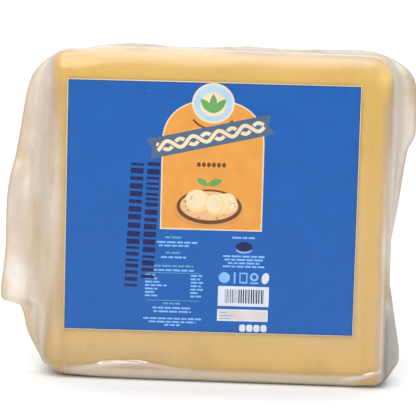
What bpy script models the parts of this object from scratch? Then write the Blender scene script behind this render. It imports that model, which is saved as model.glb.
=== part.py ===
"""A 400 g block of mozzarella in a clear vacuum bag, standing on its long edge.

Metres, +Z up. The label faces -Y, +X is to its right, and the origin is the middle of the base.

The bag clings to the block on its front, back, top and base. At the left and the right its two
films meet in a flat ear, wide and square-cut at the lower left, waisted at the right. The bag,
with the cheese in it, is one solid: closed rings of points run round the pack, from the middle of
the front, over the rounded edge, out along the ear's front film, round its cut edge, back along
its back film and in to the middle of the back.
"""

import math

import bmesh
import bpy
import numpy as np

MM = 0.001

# The block in its film, from the net weight and the outline in the photograph
WIDTH = 122.8 * MM
HEIGHT = 118.0 * MM
DEPTH = 28.0 * MM
EDGE_RADIUS = 6.0 * MM
TOP_EDGE_RADIUS = 8.0 * MM
RIGHT_SIDE_LEAN = 2.4 * MM

# Corner radii in the front view
BOTTOM_RIGHT_RADIUS = 7.0 * MM
TOP_RIGHT_RADIUS = 9.0 * MM
TOP_LEFT_RADIUS = 9.0 * MM
BOTTOM_LEFT_RADIUS = 9.0 * MM

# Gentle swellings: (centre x, height, half-width) along the top, which dips beside the left ear,
# and at the left end of the base; and the dome of both faces
TOP_SWELLINGS = (
    (-52.0 * MM, -1.4 * MM, 7.5 * MM),
    (-30.0 * MM, 1.2 * MM, 13.0 * MM),
    (10.0 * MM, 1.3 * MM, 17.0 * MM),
    (46.0 * MM, 1.6 * MM, 17.0 * MM),
)
BASE_RISES = ((-60.0 * MM, 1.1 * MM, 14.0 * MM),)
FACE_DOME = 0.5 * MM
FACE_WAVE = 0.12 * MM
FACE_WAVE_PITCH = 58.0 * MM

# The ears' cut edges: (height above the base, distance from the block's middle)
LEFT_EAR_EDGE = (
    (0.0 * MM, 60.0 * MM),
    (6.0 * MM, 63.5 * MM),
    (15.0 * MM, 68.0 * MM),
    (23.2 * MM, 70.6 * MM),
    (25.4 * MM, 77.6 * MM),
    (29.0 * MM, 78.0 * MM),
    (43.0 * MM, 76.9 * MM),
    (62.0 * MM, 76.5 * MM),
    (80.0 * MM, 73.5 * MM),
    (104.0 * MM, 69.4 * MM),
    (109.0 * MM, 67.4 * MM),
    (113.0 * MM, 62.9 * MM),
    (118.0 * MM, 54.0 * MM),
)
RIGHT_EAR_EDGE = (
    (0.0 * MM, 62.8 * MM),
    (4.0 * MM, 65.6 * MM),
    (8.6 * MM, 67.6 * MM),
    (24.0 * MM, 65.4 * MM),
    (44.0 * MM, 62.3 * MM),
    (66.0 * MM, 64.8 * MM),
    (84.0 * MM, 67.1 * MM),
    (91.0 * MM, 69.7 * MM),
    (111.0 * MM, 69.0 * MM),
    (114.5 * MM, 65.4 * MM),
    (120.0 * MM, 54.0 * MM),
)

# The ears: two films pressed together, bent back a little and wavy along their cut edge. Beside
# a full ear the film leaves the block's rounded edge early and slopes in to the seam as a tent.
SEAM_DEPTH = 1.5 * MM
EAR_THICKNESS = 0.9 * MM
EAR_CURL = 2.6 * MM
EAR_FRONT_TENT = 12.0 * MM
EAR_BACK_TENT = 6.0 * MM
TENT_SHARE = 0.62
EARLY_LEAVE = math.radians(38.0)
EARLY_LEAVE_REACH = 8.0 * MM
EAR_WAVE = 1.1 * MM
EAR_WAVE_PITCH = 37.0 * MM
EAR_RIPPLE = 0.5 * MM
EAR_RIPPLE_PITCH = 15.5 * MM
FULL_REACH = 16.5 * MM

# The label, stuck on a little askew
LABEL_WIDTH = 102.3 * MM
LABEL_HEIGHT = 88.2 * MM
LABEL_CENTRE_X = -2.6 * MM
LABEL_CENTRE_Z = 62.6 * MM
LABEL_TURN = math.radians(0.55)
LABEL_THICKNESS = 0.4 * MM
LABEL_GAP = 0.3 * MM

# How finely the shapes are divided
BASE_STEPS = 14
SIDE_STEPS = 34
TOP_STEPS = 18
CORNER_STEPS = 6
EDGE_STEPS = 4
FILM_STEPS = 6
FACE_RINGS = (0.92, 0.62, 0.31)
LABEL_COLUMNS = 14
LABEL_ROWS = 12

CHEESE_COLOUR = (0.80, 0.60, 0.27)
LABEL_COLOUR = (0.03, 0.13, 0.47)


def clear_scene():
    for thing in list(bpy.data.objects):
        bpy.data.objects.remove(thing, do_unlink=True)


def material(name, colour, roughness):
    made = bpy.data.materials.new(name)
    made.use_nodes = True
    shader = made.node_tree.nodes["Principled BSDF"]
    shader.inputs["Base Color"].default_value = (*colour, 1.0)
    shader.inputs["Roughness"].default_value = roughness
    shader.inputs["Metallic"].default_value = 0.0
    made.diffuse_color = (*colour, 1.0)
    return made


def mesh_object(name, shape, finish):
    """A named object from a bmesh, shaded smooth but for its sharp edges."""
    bmesh.ops.recalc_face_normals(shape, faces=shape.faces)
    mesh = bpy.data.meshes.new(name)
    shape.to_mesh(mesh)
    shape.free()
    mesh.shade_smooth()
    mesh.set_sharp_from_angle(angle=math.radians(40))
    mesh.materials.append(finish)
    made = bpy.data.objects.new(name, mesh)
    bpy.context.scene.collection.objects.link(made)
    return made


def eased(share):
    """0 to 1, level at both ends."""
    share = min(max(share, 0.0), 1.0)
    return share * share * (3.0 - 2.0 * share)


def smooth_through(knots, at):
    """The value at this place on a smooth curve through the knots that never overshoots them."""
    places, values = np.array(knots).T
    at = float(np.clip(at, places[0], places[-1]))
    widths = np.diff(places)
    slopes = np.diff(values) / widths
    tangents = np.zeros(len(places))
    for index in range(1, len(places) - 1):
        before, after = slopes[index - 1], slopes[index]
        if before * after > 0.0:
            tangents[index] = 2.0 * before * after / (before + after)
    tangents[0], tangents[-1] = slopes[0], slopes[-1]
    span = min(int(np.searchsorted(places, at, side="right")) - 1, len(widths) - 1)
    share = (at - places[span]) / widths[span]
    bow = share * (1.0 - share)
    straight = values[span] + slopes[span] * widths[span] * share
    start_bow = (tangents[span] - slopes[span]) * widths[span] * bow * (1.0 - share)
    end_bow = (slopes[span] - tangents[span + 1]) * widths[span] * bow * share
    return float(straight + start_bow + end_bow)


def face_relief(x, z):
    """How far the block's face stands proud of half its depth: a dome with faint waves on it."""
    across = 2.0 * x / WIDTH
    along = 2.0 * z / HEIGHT - 1.0
    dome = max(0.0, 1.0 - across * across) * max(0.0, 1.0 - along * along)
    turn = 2.0 * math.pi / FACE_WAVE_PITCH
    wave = math.sin(turn * x + 0.7) * math.cos(turn * 0.8 * z)
    return dome * (FACE_DOME + FACE_WAVE * wave)


def edge_size(out_z):
    """(upward, depthwise) size of the edge between face and side, which is rounder along the top."""
    upward = TOP_EDGE_RADIUS if out_z > 0.0 else EDGE_RADIUS
    deep = EDGE_RADIUS + (TOP_EDGE_RADIUS - EDGE_RADIUS) * max(0.0, out_z) ** 2
    return upward, deep


def outline_stations():
    """(x, z, outward x, outward z) round the block, anticlockwise from the lower left of its base."""
    half = WIDTH / 2
    corners = (
        (half, 0.0, BOTTOM_RIGHT_RADIUS, -90.0),
        (half, HEIGHT, TOP_RIGHT_RADIUS, 0.0),
        (-half, HEIGHT, TOP_LEFT_RADIUS, 90.0),
        (-half, 0.0, BOTTOM_LEFT_RADIUS, 180.0),
    )
    steps = (SIDE_STEPS, TOP_STEPS, SIDE_STEPS, BASE_STEPS)
    arcs = []
    for corner_x, corner_z, radius, start in corners:
        centre_x = corner_x - math.copysign(radius, corner_x)
        centre_z = radius if corner_z == 0.0 else corner_z - radius
        arc = []
        for step in range(CORNER_STEPS + 1):
            angle = math.radians(start + 90.0 * step / CORNER_STEPS)
            out_x, out_z = math.cos(angle), math.sin(angle)
            arc.append((centre_x + radius * out_x, centre_z + radius * out_z, out_x, out_z))
        arcs.append(arc)
    stations = []
    for arc, run, following in zip(arcs, steps, arcs[1:] + arcs[:1]):
        stations += arc
        first, last = arc[-1], following[0]
        for step in range(1, run):
            share = step / run
            stations.append(tuple(a + (b - a) * share for a, b in zip(first, last)))
    return [settled(*station) for station in stations]


def lift_at(x, hills):
    """How far these hills, each (centre x, height, half-width), lift the outline here."""
    return sum(
        height * math.exp(-(((x - centre) / half_width) ** 2))
        for centre, height, half_width in hills
    )


def settled(x, z, out_x, out_z):
    """A station moved to the real block's outline: swollen on top, its right side leaning in."""
    lift = lift_at(x, TOP_SWELLINGS) * eased((z - 0.8 * HEIGHT) / (0.2 * HEIGHT))
    lift += lift_at(x, BASE_RISES) * (1.0 - eased(z / (0.2 * HEIGHT)))
    lean = RIGHT_SIDE_LEAN * (0.5 - z / HEIGHT) * max(0.0, 2.0 * x / WIDTH)
    return x + lean, z + lift, out_x, out_z


def spaced(points, count):
    """count + 1 points along a polyline, equally far apart."""
    points = np.array(points)
    gaps = np.linalg.norm(np.diff(points, axis=0), axis=1)
    along = np.concatenate([[0.0], np.cumsum(gaps)])
    wanted = np.linspace(0.0, along[-1], count + 1)
    return np.column_stack([np.interp(wanted, along, column) for column in points.T])


def between(start, end, leaving, arriving, share):
    """The point of a Hermite curve at this share of the way from start to end."""
    near = 2.0 * share**3 - 3.0 * share**2 + 1.0
    going = share**3 - 2.0 * share**2 + share
    coming = share**3 - share**2
    return start * near + end * (1.0 - near) + leaving * going + arriving * coming


def film_line(station, reach, leave, front):
    """(outward, depth, up) of one film, from the rounded edge to the ear's cut edge."""
    _, height, out_x, out_z = station
    aside = abs(out_x)
    side = -1.0 if front else 1.0
    edge_up, edge_deep = edge_size(out_z)
    still_inside = 1.0 - math.sin(leave)
    edge_depth = DEPTH / 2 - edge_deep * (1.0 - math.cos(leave))
    seam = SEAM_DEPTH + side * EAR_THICKNESS / 2
    tent = min(TENT_SHARE * reach, EAR_FRONT_TENT if front else EAR_BACK_TENT)
    start = np.array(
        (-aside * EDGE_RADIUS * still_inside, side * edge_depth, -out_z * edge_up * still_inside)
    )
    end = np.array((tent, seam, 0.0))
    direction = np.array(
        (aside * math.cos(leave), -side * math.sin(leave), out_z * math.cos(leave))
    )
    leaving = direction * abs(seam - start[1])
    arriving = np.array((tent - start[0], 0.0, 0.0))
    points = [
        between(start, end, leaving, arriving, share) for share in np.linspace(0.0, 1.0, 17)
    ]
    points += list(np.linspace(end, (reach, seam, 0.0), 6)[1:])
    bend = (
        EAR_CURL
        + EAR_WAVE * math.sin(2.0 * math.pi * height / EAR_WAVE_PITCH)
        + EAR_RIPPLE * math.sin(2.0 * math.pi * height / EAR_RIPPLE_PITCH + 1.0)
    )
    bent = [(o, d + bend * (max(o, 0.0) / FULL_REACH) ** 1.5, up) for o, d, up in points]
    return spaced(bent, FILM_STEPS)


def section(station, ends):
    """The (x, y, z) points of one section, from the front face's rim to the back face's rim."""
    x, z, out_x, out_z = station
    edge, aside = (LEFT_EAR_EDGE, -1.0) if x < 0.0 else (RIGHT_EAR_EDGE, 1.0)
    reach = ends * max(0.0, smooth_through(edge, z) - abs(x))
    leave = 0.5 * math.pi - EARLY_LEAVE * eased(reach / EARLY_LEAVE_REACH)
    edge_up, edge_deep = edge_size(out_z)
    points = []
    for front in (True, False):
        side = -1.0 if front else 1.0
        half = []
        for step in range(EDGE_STEPS):
            angle = leave * step / EDGE_STEPS
            still_inside = 1.0 - math.sin(angle)
            rim_x = x - out_x * EDGE_RADIUS * still_inside
            rim_z = z - out_z * edge_up * still_inside
            relief = face_relief(rim_x, rim_z) * math.cos(angle)
            depth = DEPTH / 2 - edge_deep * (1.0 - math.cos(angle)) + relief
            half.append((rim_x, side * depth, rim_z))
        for outward, depth, up in film_line(station, reach, leave, front):
            half.append((x + aside * outward, depth, z + up))
        points += half if front else half[::-1]
    return points


def ear_share(out_x):
    """1 where the outline faces sideways, 0 on the top and the base, where the bag has no ear."""
    return eased(abs(out_x) / 0.5)


def vacuum_bag():
    """The bag and the block in it, as closed rings joined by quads."""
    stations = outline_stations()
    sections = [section(s, ear_share(s[2])) for s in stations]
    middle_x = LABEL_CENTRE_X
    middle_z = HEIGHT / 2
    shape = bmesh.new()
    rings = []
    for side in (-1.0, 1.0):
        face_rings = []
        for share in FACE_RINGS:
            ring = []
            for points in sections:
                rim = points[0] if side < 0 else points[-1]
                x = middle_x + (rim[0] - middle_x) * share
                z = middle_z + (rim[2] - middle_z) * share
                depth = side * (DEPTH / 2 + face_relief(x, z))
                ring.append(shape.verts.new((x, depth, z)))
            face_rings.append(ring)
        if side < 0:
            rings += face_rings[::-1]
            for level in range(len(sections[0])):
                rings.append([shape.verts.new(points[level]) for points in sections])
        else:
            rings += face_rings
    for ring, following in zip(rings, rings[1:]):
        for index in range(len(ring)):
            nearby = (index + 1) % len(ring)
            shape.faces.new(
                (ring[index], ring[nearby], following[nearby], following[index])
            )
    for side, ring in ((-1.0, rings[0]), (1.0, rings[-1])):
        depth = side * (DEPTH / 2 + face_relief(middle_x, middle_z))
        centre = shape.verts.new((middle_x, depth, middle_z))
        for index in range(len(ring)):
            shape.faces.new((ring[index], ring[(index + 1) % len(ring)], centre))
    return mesh_object("film_bag", shape, material("cheese in film", CHEESE_COLOUR, 0.2))


def label():
    """A printed sheet that follows the bag's front, a hair clear of it."""
    shape = bmesh.new()
    bmesh.ops.create_grid(
        shape, x_segments=LABEL_COLUMNS, y_segments=LABEL_ROWS, size=0.5
    )
    cos_turn, sin_turn = math.cos(LABEL_TURN), math.sin(LABEL_TURN)
    for vertex in shape.verts:
        right, up = vertex.co.x * LABEL_WIDTH, vertex.co.y * LABEL_HEIGHT
        x = LABEL_CENTRE_X + right * cos_turn - up * sin_turn
        z = LABEL_CENTRE_Z + right * sin_turn + up * cos_turn
        vertex.co = (x, -(DEPTH / 2 + face_relief(x, z) + LABEL_GAP), z)
    grown = bmesh.ops.extrude_face_region(shape, geom=shape.faces[:])
    for item in grown["geom"]:
        if isinstance(item, bmesh.types.BMVert):
            item.co.y -= LABEL_THICKNESS
    return mesh_object("label", shape, material("printed label", LABEL_COLOUR, 0.3))


clear_scene()
vacuum_bag()
label()
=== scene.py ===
# %% [markdown]
# # A vacuum-packed block of mozzarella
#
# This lesson dresses a plain solid as a pack of cheese: a pale yellow block about as wide as a
# hand, in clear film that has been sucked tight round it, with a blue label on its front.
# The solid comes ready made, in metres, and is the frame that everything here has to fit. So it
# is loaded and measured first.
# Each later step first says what the piece is on the real pack, how it could be made, and why
# this way was chosen.

# %% Load the imported model
import math

import bpy
import numpy as np
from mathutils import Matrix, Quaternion, Vector, geometry


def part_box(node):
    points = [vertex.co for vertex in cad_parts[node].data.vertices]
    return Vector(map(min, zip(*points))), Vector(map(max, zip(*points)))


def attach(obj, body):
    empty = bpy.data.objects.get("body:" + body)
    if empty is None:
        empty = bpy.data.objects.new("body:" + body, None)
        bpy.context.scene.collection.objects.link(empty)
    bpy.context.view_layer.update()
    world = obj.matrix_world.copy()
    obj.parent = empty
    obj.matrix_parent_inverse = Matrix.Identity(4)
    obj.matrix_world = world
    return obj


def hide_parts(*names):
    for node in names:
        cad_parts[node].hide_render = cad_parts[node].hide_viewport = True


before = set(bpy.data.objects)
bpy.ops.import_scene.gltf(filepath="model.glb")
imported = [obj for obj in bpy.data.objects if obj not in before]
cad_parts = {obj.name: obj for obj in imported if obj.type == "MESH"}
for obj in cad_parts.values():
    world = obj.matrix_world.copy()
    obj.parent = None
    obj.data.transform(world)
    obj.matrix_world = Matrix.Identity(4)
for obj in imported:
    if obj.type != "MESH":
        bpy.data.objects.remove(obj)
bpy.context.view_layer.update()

MM = 0.001
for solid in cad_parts:
    low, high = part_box(solid)
    across, through, up = (length / MM for length in high - low)
    print(f"{solid}: {across:.1f} x {through:.1f} x {up:.1f} mm")

# %% [markdown]
# ## The camera
#
# The pack was seen from half a metre away, a little from above, with the picture turned two
# degrees clockwise. A camera could be placed by eye. Here it is worked out: one picture element
# is 0.35 mm on the pack's front, and the sensor's width and the distance then give the lens.
# Turning the camera about its own view axis turns the picture the other way.

# %% Camera
PICTURE_WIDTH = 416
PICTURE_ELEMENT = 0.35 * MM
CAMERA_DISTANCE = 500.0 * MM
CAMERA_RISE = math.radians(5.56)
CAMERA_ROLL = math.radians(2.1)
SENSOR_WIDTH = 36.0
AIM = Vector((-3.8 * MM, -14.0 * MM, 62.7 * MM))

camera_settings = bpy.data.cameras.new("camera")
camera_settings.sensor_width = SENSOR_WIDTH
camera_settings.lens = SENSOR_WIDTH * CAMERA_DISTANCE / (PICTURE_WIDTH * PICTURE_ELEMENT)
camera = bpy.data.objects.new("camera", camera_settings)
bpy.context.scene.collection.objects.link(camera)
bpy.context.scene.camera = camera

backwards = Vector((0.0, -math.cos(CAMERA_RISE), math.sin(CAMERA_RISE)))
camera.location = AIM + backwards * CAMERA_DISTANCE
camera.rotation_mode = "QUATERNION"
level = (-backwards).to_track_quat("-Z", "Y")
camera.rotation_quaternion = level @ Quaternion((0.0, 0.0, 1.0), CAMERA_ROLL)
print(f"lens {camera_settings.lens:.1f} mm")

# %% [markdown]
# ## The studio
#
# The pack stands on a plain pale sweep: a floor that bends up into a wall with no corner to see.
# A plane and a second plane would show a line behind the pack, so one strip follows a profile of
# floor, quarter circle and wall. Two helpers start here and serve all later pieces: one makes a
# plain material, and the other makes an object from points and faces.

# %% Studio floor and wall
SWEEP_HALF_WIDTH = 2.2
SWEEP_FRONT = -2.0
SWEEP_BEND_START = 0.7
SWEEP_BEND_RADIUS = 0.6
SWEEP_HEIGHT = 2.4
SWEEP_BEND_STEPS = 24
SWEEP_COLOUR = (0.86, 0.86, 0.86)
SWEEP_ROUGHNESS = 0.9


def plain_material(name, colour, roughness):
    """A material whose one Principled shader has these values, to be detailed further."""
    made = bpy.data.materials.new(name)
    made.use_nodes = True
    shader = made.node_tree.nodes["Principled BSDF"]
    shader.inputs["Base Color"].default_value = (*colour, 1.0)
    shader.inputs["Roughness"].default_value = roughness
    return made


def mesh_piece(name, points, faces):
    """A smooth-shaded mesh object from plain lists."""
    mesh = bpy.data.meshes.new(name)
    mesh.from_pydata([tuple(point) for point in points], [], [tuple(face) for face in faces])
    mesh.update()
    mesh.shade_smooth()
    piece = bpy.data.objects.new(name, mesh)
    bpy.context.scene.collection.objects.link(piece)
    return piece


profile = [(SWEEP_FRONT, 0.0)]
for angle in np.linspace(0.0, math.pi / 2, SWEEP_BEND_STEPS + 1):
    profile.append(
        (
            SWEEP_BEND_START + SWEEP_BEND_RADIUS * math.sin(angle),
            SWEEP_BEND_RADIUS * (1.0 - math.cos(angle)),
        )
    )
profile.append((SWEEP_BEND_START + SWEEP_BEND_RADIUS, SWEEP_HEIGHT))
sweep_points = []
for y, z in profile:
    sweep_points += [(-SWEEP_HALF_WIDTH, y, z), (SWEEP_HALF_WIDTH, y, z)]
sweep_faces = [(2 * i, 2 * i + 1, 2 * i + 3, 2 * i + 2) for i in range(len(profile) - 1)]
studio_sweep = mesh_piece("studio_sweep", sweep_points, sweep_faces)
studio_sweep.data.materials.append(
    plain_material("pale studio paper", SWEEP_COLOUR, SWEEP_ROUGHNESS)
)
print(f"sweep of {len(sweep_faces)} strips")

# %% [markdown]
# The light is even and pale, as in a plain picture of goods: the world glows from all round, and
# lamps add soft highlights. A small lamp would put hard white dots on the film, so each lamp is
# a wide rectangle, turned to the point that it lights.

# %% Studio light
WORLD_COLOUR = (0.94, 0.96, 1.0, 1.0)
WORLD_STRENGTH = 0.46
PACK_MIDDLE = (0.0, 0.0, 0.06)
WALL_FOOT = (0.0, 1.2, 0.3)
# (name, place, aim, width, height, watts) of each lamp, in metres
SOFTBOXES = (
    ("ceiling box", (-0.1, -0.45, 0.9), PACK_MIDDLE, 0.9, 0.6, 6.0),
    ("front strip", (-0.3, -1.1, 0.75), PACK_MIDDLE, 0.9, 0.2, 4.5),
    ("right fill", (1.0, -0.55, 0.25), PACK_MIDDLE, 0.8, 0.8, 0.6),
    ("wall wash", (0.0, 0.35, 1.6), WALL_FOOT, 1.6, 0.5, 14.0),
)

world = bpy.data.worlds.new("studio air")
world.use_nodes = True
air = world.node_tree.nodes["Background"]
air.inputs["Color"].default_value = WORLD_COLOUR
air.inputs["Strength"].default_value = WORLD_STRENGTH
bpy.context.scene.world = world
bpy.context.scene.view_settings.view_transform = "Standard"


def softbox(name, place, aim, width, height, watts):
    """A rectangular lamp that faces the point it is aimed at."""
    settings = bpy.data.lights.new(name, "AREA")
    settings.shape = "RECTANGLE"
    settings.size = width
    settings.size_y = height
    settings.energy = watts
    lamp = bpy.data.objects.new(name, settings)
    lamp.location = place
    lamp.rotation_mode = "QUATERNION"
    lamp.rotation_quaternion = (Vector(aim) - Vector(place)).to_track_quat("-Z", "Y")
    bpy.context.scene.collection.objects.link(lamp)


for lamp_values in SOFTBOXES:
    softbox(*lamp_values)
print(f"lit by the world and {len(SOFTBOXES)} softboxes")

# %% [markdown]
# ## The form of the pack
#
# The real pack is a block with its edges rounded, sucked into film. On its front, back, top and
# base the film clings. At both sides the two films run on past the block and meet in a flat ear,
# because the bag was wider than the cheese. Sculpting that by hand would never match the solid
# it has to fit. So the form is built the way the solid was: points all round the block's outline,
# and at each of them a section that runs over the front edge, out along the ear and back again.
# The sizes are those of the solid.

# %% Size of the block
WIDTH = 122.8 * MM
HEIGHT = 118.0 * MM
DEPTH = 28.0 * MM
print(f"block {WIDTH / MM:.1f} x {DEPTH / MM:.0f} x {HEIGHT / MM:.0f} mm")

# %% [markdown]
# Small tools come first. One draws a smooth curve through a few knots without overshooting them,
# which a plain spline would do at the sharp step low on the left ear. The next eases a number
# from 0 to 1, so that no form starts with a kink, and the third does that over a length given in
# millimetres. The last draws a single smooth hill.

# %% Smooth curves
def smooth_through(knots, at):
    """Values on a smooth curve through the knots that never overshoots them."""
    places, values = knots.T
    at = np.clip(at, places[0], places[-1])
    widths = np.diff(places)
    slopes = np.diff(values) / widths
    before, after = slopes[:-1], slopes[1:]
    tangents = np.zeros(len(places))
    same_way = before * after > 0.0
    inner = np.zeros(len(before))
    inner[same_way] = (2.0 * before * after)[same_way] / (before + after)[same_way]
    tangents[1:-1] = inner
    tangents[0], tangents[-1] = slopes[0], slopes[-1]
    span = np.clip(np.searchsorted(places, at, side="right") - 1, 0, len(widths) - 1)
    share = (at - places[span]) / widths[span]
    bow = share * (1.0 - share)
    straight = values[span] + slopes[span] * widths[span] * share
    start_bow = (tangents[span] - slopes[span]) * widths[span] * bow * (1.0 - share)
    end_bow = (slopes[span] - tangents[span + 1]) * widths[span] * bow * share
    return straight + start_bow + end_bow


def eased(share):
    """0 to 1, level at both ends."""
    share = np.clip(share, 0.0, 1.0)
    return share * share * (3.0 - 2.0 * share)


def growing(length, none_at, full_at):
    """0 where the length is none_at mm, 1 where it is full_at mm, eased between the two."""
    return eased((length - none_at * MM) / ((full_at - none_at) * MM))


def hill(at, centre, height, half_width):
    """A smooth rise, or a dip where its height is negative."""
    return height * np.exp(-(((at - centre) / half_width) ** 2))


print(f"half way from 2 to 4 mm: {growing(3.0 * MM, 2.0, 4.0):.2f}")

# %% [markdown]
# Pressed cheese is a little fuller in the middle of its faces, and never quite even. A height
# above the flat face, worked out for any place on it, does for the cheese, the film and the
# label alike, so that they stay on each other.

# %% Dome of the faces
FACE_DOME = 0.5 * MM
FACE_WAVE = 0.12 * MM
FACE_WAVE_PITCH = 58.0 * MM


def face_relief(x, z):
    """How far the front and back stand proud of half the depth: a low dome with faint waves."""
    across = 2.0 * x / WIDTH
    along = 2.0 * z / HEIGHT - 1.0
    dome = np.maximum(0.0, 1.0 - across**2) * np.maximum(0.0, 1.0 - along**2)
    turn = 2.0 * np.pi / FACE_WAVE_PITCH
    return dome * (FACE_DOME + FACE_WAVE * np.sin(turn * x + 0.7) * np.cos(turn * 0.8 * z))


print(f"the front stands {face_relief(0.0, HEIGHT / 2) / MM:.2f} mm proud at its middle")

# %% [markdown]
# The outline is the block seen from the front: four rounded corners joined by straight runs. Each
# row of the table it returns is a place and the way out from there. The block is not quite
# square: its top dips beside the left ear, its base rises a little at the left, and its right
# side leans. The swellings, where film stands off the top, are added only for the film, because
# the cheese under them is straight.

# %% Outline of the block
BOTTOM_RIGHT_RADIUS = 7.0 * MM
TOP_RIGHT_RADIUS = 9.0 * MM
TOP_LEFT_RADIUS = 9.0 * MM
BOTTOM_LEFT_RADIUS = 9.0 * MM
RIGHT_SIDE_LEAN = 2.4 * MM
# (centre x, height, half-width) of each dip, rise and swelling
TOP_DIP = (-52.0 * MM, -1.4 * MM, 7.5 * MM)
BASE_RISE = (-60.0 * MM, 1.1 * MM, 14.0 * MM)
TOP_SWELLINGS = (
    (-30.0 * MM, 1.2 * MM, 13.0 * MM),
    (10.0 * MM, 1.3 * MM, 17.0 * MM),
    (46.0 * MM, 1.6 * MM, 17.0 * MM),
)
END_SHARE = 0.2


def outline(base, side, top, corner, swell):
    """Rows of x, z, outward x, outward z round the block, anticlockwise seen from the front."""
    half = WIDTH / 2
    corners = (
        (half, 0.0, BOTTOM_RIGHT_RADIUS, -90.0),
        (half, HEIGHT, TOP_RIGHT_RADIUS, 0.0),
        (-half, HEIGHT, TOP_LEFT_RADIUS, 90.0),
        (-half, 0.0, BOTTOM_LEFT_RADIUS, 180.0),
    )
    arcs = []
    for corner_x, corner_z, radius, start in corners:
        centre_x = corner_x - math.copysign(radius, corner_x)
        centre_z = radius if corner_z == 0.0 else corner_z - radius
        angles = np.radians(start + np.linspace(0.0, 90.0, corner + 1))
        out_x, out_z = np.cos(angles), np.sin(angles)
        arcs.append(
            np.column_stack([centre_x + radius * out_x, centre_z + radius * out_z, out_x, out_z])
        )
    rows = []
    for arc, run, following in zip(arcs, (side, top, side, base), arcs[1:] + arcs[:1]):
        shares = np.linspace(0.0, 1.0, run + 1)[1:-1, None]
        rows += [arc, arc[-1] + (following[0] - arc[-1]) * shares]
    rows = np.vstack(rows)
    x, z = rows[:, 0].copy(), rows[:, 1].copy()
    near_top = eased((z - (1.0 - END_SHARE) * HEIGHT) / (END_SHARE * HEIGHT))
    near_base = 1.0 - eased(z / (END_SHARE * HEIGHT))
    lift = hill(x, *TOP_DIP) + swell * sum(hill(x, *swelling) for swelling in TOP_SWELLINGS)
    rows[:, 1] += lift * near_top
    rows[:, 1] += hill(x, *BASE_RISE) * near_base
    rows[:, 0] += RIGHT_SIDE_LEAN * (0.5 - z / HEIGHT) * np.maximum(0.0, 2.0 * x / WIDTH)
    return rows


coarse_rows = outline(base=14, side=34, top=18, corner=6, swell=1.0)
print(f"{len(coarse_rows)} places would do for a plain solid")

# %% [markdown]
# A section starts on the front face, a rounded edge's width in from the outline, and goes over
# that edge, which is rounder along the top. Then it follows the film. Beside an ear the film
# leaves the edge before it has turned all the way round and slopes in to the seam as a slack
# tent. A cubic curve draws that slope, because it takes a direction at each end and so leaves
# no kink.

# %% Edges and slopes
EDGE_RADIUS = 6.0 * MM
TOP_EDGE_RADIUS = 8.0 * MM


def edge_size(out_z):
    """(upward, depthwise) size of the edge between face and side, which is rounder along the top."""
    upward = TOP_EDGE_RADIUS if out_z > 0.0 else EDGE_RADIUS
    deep = EDGE_RADIUS + (TOP_EDGE_RADIUS - EDGE_RADIUS) * max(0.0, out_z) ** 2
    return upward, deep


def between(start, end, leaving, arriving, share):
    """A cubic curve: points from start to end, with a direction and speed at each end."""
    share = share[:, None]
    near = 2.0 * share**3 - 3.0 * share**2 + 1.0
    going = share**3 - 2.0 * share**2 + share
    coming = share**3 - share**2
    return start * near + end * (1.0 - near) + leaving * going + arriving * coming


def spaced(points, count):
    """count + 1 points along a polyline, equally far apart."""
    gaps = np.linalg.norm(np.diff(points, axis=0), axis=1)
    along = np.concatenate([[0.0], np.cumsum(gaps)])
    wanted = np.linspace(0.0, along[-1], count + 1)
    return np.column_stack([np.interp(wanted, along, column) for column in points.T])


print("upward and depthwise edge along the top:", [round(size / MM, 1) for size in edge_size(1.0)])

# %% [markdown]
# Each ear is cut to an outline of its own, with a sharp step low on the left one. An outline
# could be drawn as a curve object, but a table of how far the ear reaches at each height is
# what a section asks for.

# %% Cut edges of the ears
# (height above the base, distance from the block's middle) along each ear's cut edge
LEFT_EAR_EDGE = np.array(
    (
        (0.0, 60.0),
        (6.0, 63.5),
        (15.0, 68.0),
        (23.2, 70.6),
        (25.4, 77.6),
        (29.0, 78.0),
        (43.0, 76.9),
        (62.0, 76.5),
        (80.0, 73.5),
        (104.0, 69.4),
        (109.0, 67.4),
        (113.0, 62.9),
        (118.0, 54.0),
    )
) * MM
RIGHT_EAR_EDGE = np.array(
    (
        (0.0, 62.8),
        (4.0, 65.6),
        (8.6, 67.6),
        (24.0, 65.4),
        (44.0, 62.3),
        (66.0, 64.8),
        (84.0, 67.1),
        (91.0, 69.7),
        (111.0, 69.0),
        (114.5, 65.4),
        (120.0, 54.0),
    )
) * MM
for side, edge in (("left", LEFT_EAR_EDGE), ("right", RIGHT_EAR_EDGE)):
    print(f"the {side} ear reaches {edge[:, 1].max() / MM:.1f} mm from the pack's middle")

# %% [markdown]
# One film of an ear is a line seen from above: the tent's slope, then flat to the cut edge. The
# seam lies a little behind the block's middle, and the ear bends backwards towards its cut edge
# and is wavy up and down, as film is when it has been welded and cut. Where an ear has no reach,
# the same rule gives the plain side of the block.

# %% One film of an ear
SEAM_DEPTH = 1.5 * MM
EAR_FRONT_TENT = 12.0 * MM
EAR_BACK_TENT = 6.0 * MM
TENT_SHARE = 0.62
FULL_REACH = 16.5 * MM
EAR_CURL = 2.6 * MM
CURL_POWER = 1.5
EAR_WAVE = 1.1 * MM
EAR_WAVE_PITCH = 37.0 * MM
EAR_RIPPLE = 0.5 * MM
EAR_RIPPLE_PITCH = 15.5 * MM
LINE_POINTS = 17


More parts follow.
